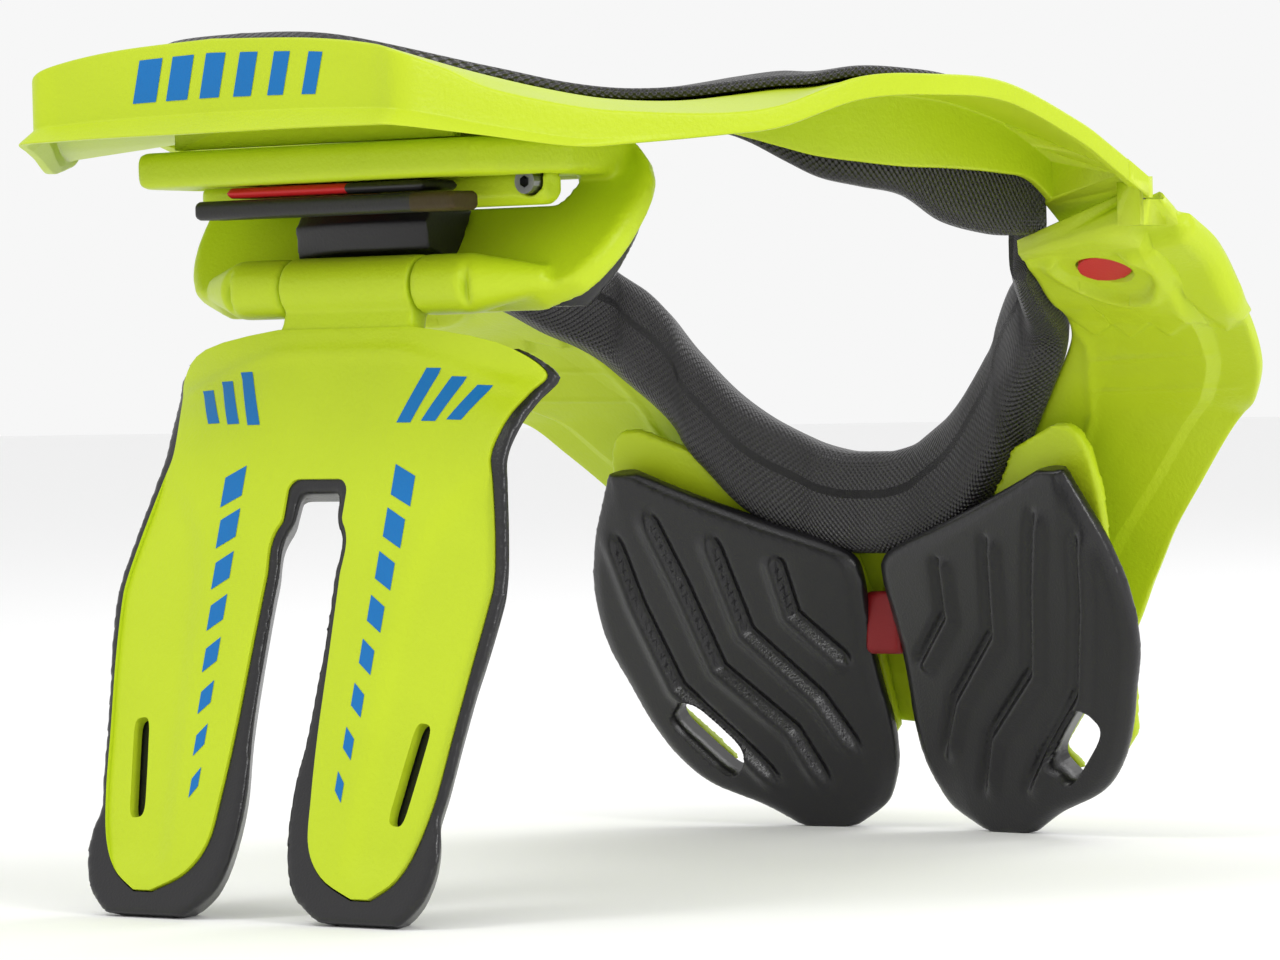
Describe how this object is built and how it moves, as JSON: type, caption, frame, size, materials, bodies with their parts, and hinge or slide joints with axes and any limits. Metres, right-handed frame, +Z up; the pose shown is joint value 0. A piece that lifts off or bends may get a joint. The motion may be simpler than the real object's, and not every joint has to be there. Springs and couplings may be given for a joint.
{
  "type": "motocross neck brace",
  "caption": "Motocross neck brace: opening ring with padded neck hole, rear helmet table, folding two-legged back strut, chest pads and side release buttons.",
  "frame": {"origin": "middle of the bounding box in plan, on the floor that the brace stands on", "axes": "+Z up, +Y the way the wearer looks, +X to the wearer's right"},
  "size_m": [0.2466, 0.264, 0.1849],
  "materials": {
    "lime_shell": "satin moulded",
    "mesh_fabric": "woven mesh over foam",
    "black_foam": "smooth moulded foam",
    "red_plastic": "satin",
    "black_plastic": "satin",
    "dark_steel": "dark plated"
  },
  "bodies": {
    "rear": {"rear_table": "lime_shell", "rear_wall": "lime_shell", "rear_frame": "lime_shell", "rear_collar_pad": "mesh_fabric", "rear_neck_pad": "black_foam", "adjuster_arm": "lime_shell", "adjuster_slider": "red_plastic", "adjuster_strip": "black_plastic", "adjuster_bolt": "dark_steel", "angle_wedge": "black_plastic", "hinge_pin": "dark_steel", "side_pin_right": "dark_steel", "side_pin_left": "dark_steel"},
    "strut": {"strut_shell": "lime_shell", "strut_pad": "black_foam"},
    "front": {"front_frame": "lime_shell", "front_collar_pad": "mesh_fabric", "front_adjuster": "red_plastic", "chest_pad_right": "black_foam", "chest_plate_right": "lime_shell", "chest_pad_left": "black_foam", "chest_plate_left": "lime_shell"},
    "release_right": {"button_right": "red_plastic"},
    "release_left": {"button_left": "red_plastic"}
  },
  "joints": [
    {"name": "strut_fold", "type": "hinge", "parent": "rear", "child": "strut", "pos_m": [0, -0.0807, 0.1318], "axis": [1, 0, 0], "range_deg": [0, 30]},
    {"name": "front_swing", "type": "hinge", "parent": "rear", "child": "front", "pos_m": [-0.1191, 0.0412, 0.14], "axis": [0, 0, 1], "range_deg": [0, 60]},
    {"name": "release_press_right", "type": "slide", "parent": "front", "child": "release_right", "axis": [-0.2006, 0.3783, 0.9037], "range_m": [0, 0.002], "stiffness_N_per_m": 400, "springref_m": -0.001},
    {"name": "release_press_left", "type": "slide", "parent": "front", "child": "release_left", "axis": [0.2006, 0.3783, 0.9037], "range_m": [0, 0.002], "stiffness_N_per_m": 400, "springref_m": -0.001}
  ]
}
